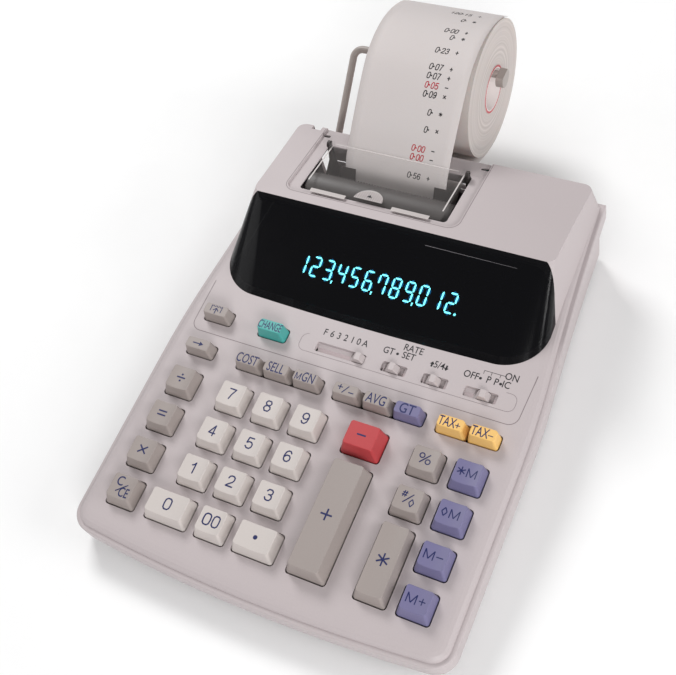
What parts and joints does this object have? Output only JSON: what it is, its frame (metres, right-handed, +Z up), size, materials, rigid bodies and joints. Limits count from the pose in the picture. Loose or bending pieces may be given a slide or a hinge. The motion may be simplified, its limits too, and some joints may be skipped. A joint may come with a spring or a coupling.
{
  "type": "printing calculator",
  "caption": "Desktop printing calculator: sloping keyboard, smoked fluorescent display, drum printer under a clear cover, paper roll on a swinging arm.",
  "frame": {"origin": "centre of the whole footprint, paper roll and arm included, on the table under the rubber feet", "axes": "+Z up, +Y from the keyboard to the back, +X to the right"},
  "size_m": [0.1924, 0.3294, 0.0992],
  "materials": {
    "case": "fine satin",
    "ivory": "satin",
    "taupe": "satin",
    "violet": "satin",
    "red": "satin",
    "teal": "satin",
    "amber": "satin",
    "knob": "satin",
    "dark": "satin",
    "window": "polished",
    "clear": "clear",
    "tube": "clear",
    "board": "lacquered",
    "mat": "moulded",
    "rubber": "moulded",
    "metal": "plain",
    "iron": "lacquered",
    "paper": "uncoated paper",
    "core": "moulded"
  },
  "bodies": {
    "case": {"upper_case": "case", "lower_case": "case", "display_window": "window", "display_tube": "tube", "circuit_board": "board", "key_mat": "mat", "printer_frame": "dark", "printer_motor": "metal", "transformer": "iron", "rubber_feet": "rubber", "case_screws": "metal", "paper_tape": "paper"},
    "key_0_body": {"key_0": "ivory"},
    "key_1_body": {"key_1": "ivory"},
    "key_2_body": {"key_2": "ivory"},
    "key_3_body": {"key_3": "ivory"},
    "key_4_body": {"key_4": "ivory"},
    "key_5_body": {"key_5": "ivory"},
    "key_6_body": {"key_6": "ivory"},
    "key_7_body": {"key_7": "ivory"},
    "key_8_body": {"key_8": "ivory"},
    "key_9_body": {"key_9": "ivory"},
    "key_average_body": {"key_average": "taupe"},
    "key_backspace_body": {"key_backspace": "taupe"},
    "key_change_body": {"key_change": "teal"},
    "key_clear_body": {"key_clear": "taupe"},
    "key_cost_body": {"key_cost": "taupe"},
    "key_divide_body": {"key_divide": "taupe"},
    "key_double_zero_body": {"key_double_zero": "ivory"},
    "key_equals_body": {"key_equals": "taupe"},
    "key_feed_body": {"key_feed": "taupe"},
    "key_grand_total_body": {"key_grand_total": "violet"},
    "key_margin_body": {"key_margin": "taupe"},
    "key_memory_minus_body": {"key_memory_minus": "violet"},
    "key_memory_plus_body": {"key_memory_plus": "violet"},
    "key_memory_subtotal_body": {"key_memory_subtotal": "violet"},
    "key_memory_total_body": {"key_memory_total": "violet"},
    "key_minus_body": {"key_minus": "red"},
    "key_multiply_body": {"key_multiply": "taupe"},
    "key_percent_body": {"key_percent": "taupe"},
    "key_plus_body": {"key_plus": "taupe"},
    "key_point_body": {"key_point": "ivory"},
    "key_sell_body": {"key_sell": "taupe"},
    "key_sign_body": {"key_sign": "taupe"},
    "key_subtotal_body": {"key_subtotal": "taupe"},
    "key_tax_minus_body": {"key_tax_minus": "amber"},
    "key_tax_plus_body": {"key_tax_plus": "amber"},
    "key_total_body": {"key_total": "taupe"},
    "decimal_knob_body": {"decimal_knob": "knob"},
    "rate_knob_body": {"rate_knob": "knob"},
    "rounding_knob_body": {"rounding_knob": "knob"},
    "power_knob_body": {"power_knob": "knob"},
    "cover": {"printer_cover": "clear"},
    "holder": {"roll_holder": "taupe"},
    "roll": {"paper_roll": "paper", "paper_core": "core"},
    "drum": {"type_drum": "metal"},
    "feed": {"feed_roller": "rubber"},
    "ink": {"ink_roller": "rubber"},
    "pinion": {"motor_pinion": "metal"}
  },
  "joints": [
    {"name": "key_0_press", "type": "slide", "parent": "case", "child": "key_0_body", "axis": [0, -0.1132, 0.9936], "range_m": [-0.0025, 0], "stiffness_N_per_m": 200, "springref_m": 0.0005},
    {"name": "key_1_press", "type": "slide", "parent": "case", "child": "key_1_body", "axis": [0, -0.1132, 0.9936], "range_m": [-0.0025, 0], "stiffness_N_per_m": 200, "springref_m": 0.0005},
    {"name": "key_2_press", "type": "slide", "parent": "case", "child": "key_2_body", "axis": [0, -0.1132, 0.9936], "range_m": [-0.0025, 0], "stiffness_N_per_m": 200, "springref_m": 0.0005},
    {"name": "key_3_press", "type": "slide", "parent": "case", "child": "key_3_body", "axis": [0, -0.1132, 0.9936], "range_m": [-0.0025, 0], "stiffness_N_per_m": 200, "springref_m": 0.0005},
    {"name": "key_4_press", "type": "slide", "parent": "case", "child": "key_4_body", "axis": [0, -0.1132, 0.9936], "range_m": [-0.0025, 0], "stiffness_N_per_m": 200, "springref_m": 0.0005},
    {"name": "key_5_press", "type": "slide", "parent": "case", "child": "key_5_body", "axis": [0, -0.1132, 0.9936], "range_m": [-0.0025, 0], "stiffness_N_per_m": 200, "springref_m": 0.0005},
    {"name": "key_6_press", "type": "slide", "parent": "case", "child": "key_6_body", "axis": [0, -0.1132, 0.9936], "range_m": [-0.0025, 0], "stiffness_N_per_m": 200, "springref_m": 0.0005},
    {"name": "key_7_press", "type": "slide", "parent": "case", "child": "key_7_body", "axis": [0, -0.1132, 0.9936], "range_m": [-0.0025, 0], "stiffness_N_per_m": 200, "springref_m": 0.0005},
    {"name": "key_8_press", "type": "slide", "parent": "case", "child": "key_8_body", "axis": [0, -0.1132, 0.9936], "range_m": [-0.0025, 0], "stiffness_N_per_m": 200, "springref_m": 0.0005},
    {"name": "key_9_press", "type": "slide", "parent": "case", "child": "key_9_body", "axis": [0, -0.1132, 0.9936], "range_m": [-0.0025, 0], "stiffness_N_per_m": 200, "springref_m": 0.0005},
    {"name": "key_average_press", "type": "slide", "parent": "case", "child": "key_average_body", "axis": [0, -0.1132, 0.9936], "range_m": [-0.0025, 0], "stiffness_N_per_m": 200, "springref_m": 0.0005},
    {"name": "key_backspace_press", "type": "slide", "parent": "case", "child": "key_backspace_body", "axis": [0, -0.1132, 0.9936], "range_m": [-0.0025, 0], "stiffness_N_per_m": 200, "springref_m": 0.0005},
    {"name": "key_change_press", "type": "slide", "parent": "case", "child": "key_change_body", "axis": [0, -0.1132, 0.9936], "range_m": [-0.0025, 0], "stiffness_N_per_m": 200, "springref_m": 0.0005},
    {"name": "key_clear_press", "type": "slide", "parent": "case", "child": "key_clear_body", "axis": [0, -0.1132, 0.9936], "range_m": [-0.0025, 0], "stiffness_N_per_m": 200, "springref_m": 0.0005},
    {"name": "key_cost_press", "type": "slide", "parent": "case", "child": "key_cost_body", "axis": [0, -0.1132, 0.9936], "range_m": [-0.0025, 0], "stiffness_N_per_m": 200, "springref_m": 0.0005},
    {"name": "key_divide_press", "type": "slide", "parent": "case", "child": "key_divide_body", "axis": [0, -0.1132, 0.9936], "range_m": [-0.0025, 0], "stiffness_N_per_m": 200, "springref_m": 0.0005},
    {"name": "key_double_zero_press", "type": "slide", "parent": "case", "child": "key_double_zero_body", "axis": [0, -0.1132, 0.9936], "range_m": [-0.0025, 0], "stiffness_N_per_m": 200, "springref_m": 0.0005},
    {"name": "key_equals_press", "type": "slide", "parent": "case", "child": "key_equals_body", "axis": [0, -0.1132, 0.9936], "range_m": [-0.0025, 0], "stiffness_N_per_m": 200, "springref_m": 0.0005},
    {"name": "key_feed_press", "type": "slide", "parent": "case", "child": "key_feed_body", "axis": [0, -0.1132, 0.9936], "range_m": [-0.0025, 0], "stiffness_N_per_m": 200, "springref_m": 0.0005},
    {"name": "key_grand_total_press", "type": "slide", "parent": "case", "child": "key_grand_total_body", "axis": [0, -0.1132, 0.9936], "range_m": [-0.0025, 0], "stiffness_N_per_m": 200, "springref_m": 0.0005},
    {"name": "key_margin_press", "type": "slide", "parent": "case", "child": "key_margin_body", "axis": [0, -0.1132, 0.9936], "range_m": [-0.0025, 0], "stiffness_N_per_m": 200, "springref_m": 0.0005},
    {"name": "key_memory_minus_press", "type": "slide", "parent": "case", "child": "key_memory_minus_body", "axis": [0, -0.1132, 0.9936], "range_m": [-0.0025, 0], "stiffness_N_per_m": 200, "springref_m": 0.0005},
    {"name": "key_memory_plus_press", "type": "slide", "parent": "case", "child": "key_memory_plus_body", "axis": [0, -0.1132, 0.9936], "range_m": [-0.0025, 0], "stiffness_N_per_m": 200, "springref_m": 0.0005},
    {"name": "key_memory_subtotal_press", "type": "slide", "parent": "case", "child": "key_memory_subtotal_body", "axis": [0, -0.1132, 0.9936], "range_m": [-0.0025, 0], "stiffness_N_per_m": 200, "springref_m": 0.0005},
    {"name": "key_memory_total_press", "type": "slide", "parent": "case", "child": "key_memory_total_body", "axis": [0, -0.1132, 0.9936], "range_m": [-0.0025, 0], "stiffness_N_per_m": 200, "springref_m": 0.0005},
    {"name": "key_minus_press", "type": "slide", "parent": "case", "child": "key_minus_body", "axis": [0, -0.1132, 0.9936], "range_m": [-0.0025, 0], "stiffness_N_per_m": 200, "springref_m": 0.0005},
    {"name": "key_multiply_press", "type": "slide", "parent": "case", "child": "key_multiply_body", "axis": [0, -0.1132, 0.9936], "range_m": [-0.0025, 0], "stiffness_N_per_m": 200, "springref_m": 0.0005},
    {"name": "key_percent_press", "type": "slide", "parent": "case", "child": "key_percent_body", "axis": [0, -0.1132, 0.9936], "range_m": [-0.0025, 0], "stiffness_N_per_m": 200, "springref_m": 0.0005},
    {"name": "key_plus_press", "type": "slide", "parent": "case", "child": "key_plus_body", "axis": [0, -0.1132, 0.9936], "range_m": [-0.0025, 0], "stiffness_N_per_m": 200, "springref_m": 0.0005},
    {"name": "key_point_press", "type": "slide", "parent": "case", "child": "key_point_body", "axis": [0, -0.1132, 0.9936], "range_m": [-0.0025, 0], "stiffness_N_per_m": 200, "springref_m": 0.0005},
    {"name": "key_sell_press", "type": "slide", "parent": "case", "child": "key_sell_body", "axis": [0, -0.1132, 0.9936], "range_m": [-0.0025, 0], "stiffness_N_per_m": 200, "springref_m": 0.0005},
    {"name": "key_sign_press", "type": "slide", "parent": "case", "child": "key_sign_body", "axis": [0, -0.1132, 0.9936], "range_m": [-0.0025, 0], "stiffness_N_per_m": 200, "springref_m": 0.0005},
    {"name": "key_subtotal_press", "type": "slide", "parent": "case", "child": "key_subtotal_body", "axis": [0, -0.1132, 0.9936], "range_m": [-0.0025, 0], "stiffness_N_per_m": 200, "springref_m": 0.0005},
    {"name": "key_tax_minus_press", "type": "slide", "parent": "case", "child": "key_tax_minus_body", "axis": [0, -0.1132, 0.9936], "range_m": [-0.0025, 0], "stiffness_N_per_m": 200, "springref_m": 0.0005},
    {"name": "key_tax_plus_press", "type": "slide", "parent": "case", "child": "key_tax_plus_body", "axis": [0, -0.1132, 0.9936], "range_m": [-0.0025, 0], "stiffness_N_per_m": 200, "springref_m": 0.0005},
    {"name": "key_total_press", "type": "slide", "parent": "case", "child": "key_total_body", "axis": [0, -0.1132, 0.9936], "range_m": [-0.0025, 0], "stiffness_N_per_m": 200, "springref_m": 0.0005},
    {"name": "decimal_knob_slide", "type": "slide", "parent": "case", "child": "decimal_knob_body", "axis": [1, 0, 0], "range_m": [-0.01925, 0]},
    {"name": "rate_knob_slide", "type": "slide", "parent": "case", "child": "rate_knob_body", "axis": [1, 0, 0], "range_m": [-0.00215, 0.00335]},
    {"name": "rounding_knob_slide", "type": "slide", "parent": "case", "child": "rounding_knob_body", "axis": [1, 0, 0], "range_m": [-0.00215, 0.00335]},
    {"name": "power_knob_slide", "type": "slide", "parent": "case", "child": "power_knob_body", "axis": [1, 0, 0], "range_m": [-0.00575, 0.00325]},
    {"name": "cover_hinge", "type": "hinge", "parent": "case", "child": "cover", "pos_m": [-0.018, 0.06457, 0.06147], "axis": [-1, 0, 0], "range_deg": [0, 60]},
    {"name": "holder_hinge", "type": "hinge", "parent": "case", "child": "holder", "pos_m": [-0.0704, 0.07244, 0.01274], "axis": [1, 0, 0], "range_deg": [0, 15], "deforming": ["paper_tape"]},
    {"name": "roll_spin", "type": "hinge", "parent": "holder", "child": "roll", "pos_m": [-0.018, 0.12798, 0.05973], "axis": [1, 0, 0], "continuous": true},
    {"name": "drum_spin", "type": "hinge", "parent": "case", "child": "drum", "pos_m": [-0.018, 0.04457, 0.04087], "axis": [1, 0, 0], "continuous": true},
    {"name": "feed_spin", "type": "hinge", "parent": "case", "child": "feed", "pos_m": [-0.018, 0.05901, 0.03346], "axis": [1, 0, 0], "continuous": true},
    {"name": "ink_spin", "type": "hinge", "parent": "case", "child": "ink", "pos_m": [-0.018, 0.03462, 0.0337], "axis": [1, 0, 0], "continuous": true},
    {"name": "pinion_spin", "type": "hinge", "parent": "case", "child": "pinion", "pos_m": [0.0235, 0.0437, 0.0265], "axis": [1, 0, 0], "continuous": true}
  ],
  "couplings": [
    {"joint": "feed_spin", "follows": "drum_spin", "ratio": -1.5714},
    {"joint": "pinion_spin", "follows": "drum_spin", "ratio": -2.2},
    {"joint": "ink_spin", "follows": "drum_spin", "ratio": -2}
  ]
}
